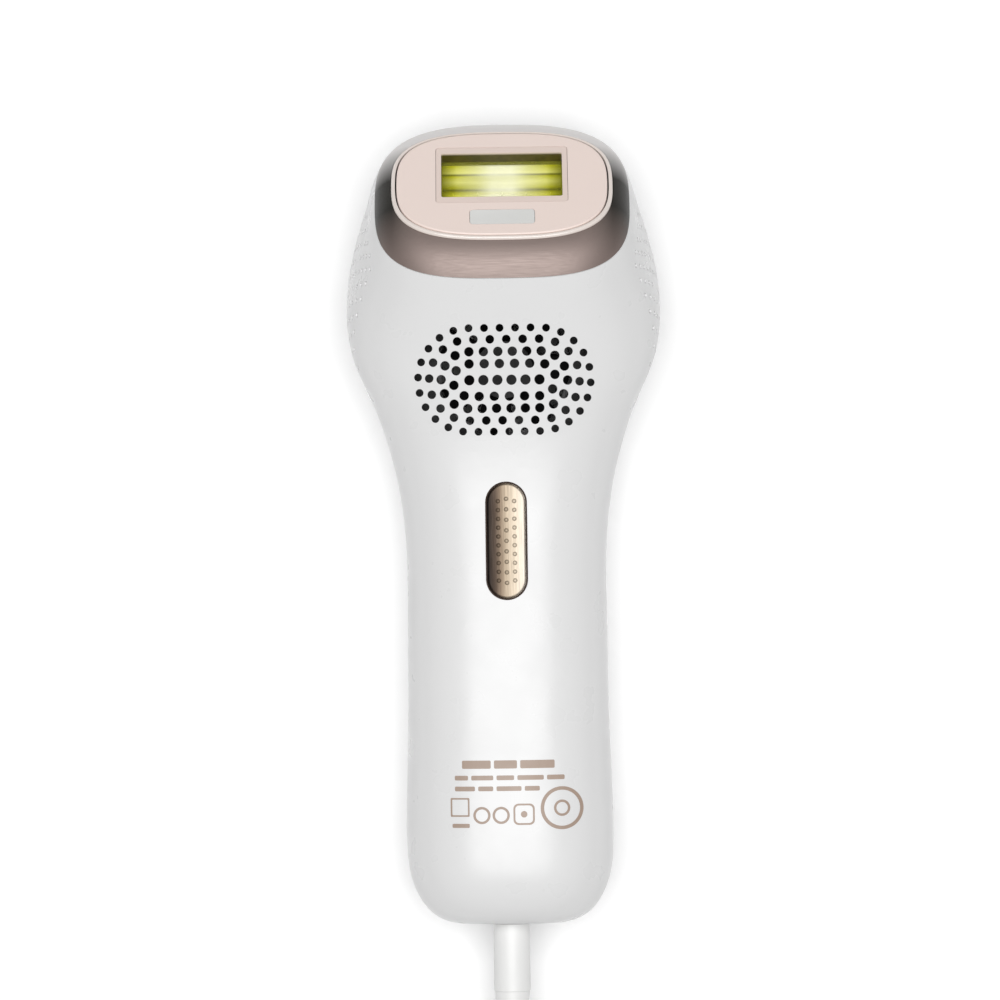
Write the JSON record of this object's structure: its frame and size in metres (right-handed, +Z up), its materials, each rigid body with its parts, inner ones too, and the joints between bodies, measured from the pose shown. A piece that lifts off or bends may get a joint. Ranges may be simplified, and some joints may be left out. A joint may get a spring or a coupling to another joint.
{
  "type": "ipl hair remover",
  "caption": "Handheld light-pulse hair remover with tilted lamp head, trigger button, cooling fan, vented casing and plug-in lead with wall adapter.",
  "frame": {"origin": "middle of the device's footprint on the surface it lies on, without its lead", "axes": "+Y along the handle towards the head, +Z up from the surface, out of the side with the trigger and the treatment face, +X to the right seen from above"},
  "size_m": [0.077, 0.4794, 0.0565],
  "materials": {
    "white_gloss": "glossy white moulded plastic",
    "bezel_metal": "satin rose-gold plated",
    "lip_pearl": "pearl cream, polished edge",
    "plate_blush": "smooth blush satin",
    "window_glass": "yellow-green tinted filter glass",
    "sensor_diffuser": "milky translucent",
    "reflector": "polished reflector",
    "lamp_glass": "clear quartz tube",
    "button_gold": "satin champagne gold",
    "dark_plastic": "fine matt black",
    "grey_plastic": "matt mid grey",
    "steel": "bright machined steel",
    "aluminium": "extruded aluminium",
    "circuit_board": "green solder mask",
    "copper": "enamelled copper winding",
    "wire_silicone": "silicone sleeving",
    "light_pipe": "frosted clear plastic",
    "cord_white": "satin white flexible PVC",
    "rubber_grey": "soft light grey rubber"
  },
  "bodies": {
    "root": {"front_shell": "white_gloss", "rear_shell": "white_gloss", "housing_screws": "steel", "screw_covers": "rubber_grey", "head_bezel": "bezel_metal", "plate_frame": "lip_pearl", "treatment_plate": "plate_blush", "window_frame": "plate_blush", "filter_glass": "window_glass", "skin_sensor_window": "sensor_diffuser", "skin_sensor_board": "circuit_board", "skin_sensor_leds": "light_pipe", "lamp_reflector": "reflector", "flash_lamp": "lamp_glass", "lamp_electrodes": "steel", "lamp_holders": "rubber_grey", "trigger_wire": "steel", "lamp_housing": "dark_plastic", "heat_sink": "aluminium", "fan_housing": "dark_plastic", "fan_stator": "copper", "fan_bracket": "grey_plastic", "fan_duct": "dark_plastic", "button_surround": "button_gold", "flash_switch": "dark_plastic", "power_switch": "dark_plastic", "indicator_board": "circuit_board", "indicator_leds": "light_pipe", "indicator_light_pipes": "light_pipe", "control_board": "circuit_board", "main_capacitor": "dark_plastic", "flyback_transformer": "copper", "trigger_coil": "copper", "input_capacitor": "dark_plastic", "board_chips": "dark_plastic", "lamp_leads": "wire_silicone", "fan_lead": "wire_silicone", "capacitor_leads": "steel", "board_ribbon": "grey_plastic", "power_socket": "dark_plastic"},
    "flash_button": {"flash_button": "button_gold", "flash_switch_plunger": "grey_plastic"},
    "power_button": {"power_button": "button_gold", "power_switch_plunger": "grey_plastic"},
    "fan": {"fan_rotor": "dark_plastic"},
    "power_lead": {"plug_barrel": "steel", "plug_body": "cord_white", "plug_strain_relief": "cord_white", "cord_lead_in": "cord_white", "cord_lead_out": "cord_white", "cord_coil": "cord_white", "cord_tie": "dark_plastic", "adapter_case": "white_gloss", "adapter_cover": "white_gloss", "adapter_prongs": "steel", "adapter_board": "circuit_board", "adapter_transformer": "copper", "adapter_strain_relief": "cord_white"}
  },
  "joints": [
    {"name": "flash_press", "type": "slide", "parent": "root", "child": "flash_button", "axis": [0, 0, -1], "range_m": [0, 0.0008], "stiffness_N_per_m": 400, "springref_m": -0.004},
    {"name": "power_press", "type": "slide", "parent": "root", "child": "power_button", "axis": [0, 0, 1], "range_m": [0, 0.0006], "stiffness_N_per_m": 400, "springref_m": -0.004},
    {"name": "fan_spin", "type": "hinge", "parent": "root", "child": "fan", "pos_m": [0, 0.0378, 0.027], "axis": [0, 0, 1], "continuous": true},
    {"name": "plug_pull", "type": "slide", "parent": "root", "child": "power_lead", "axis": [0, -1, 0], "range_m": [0, 0.012]}
  ]
}
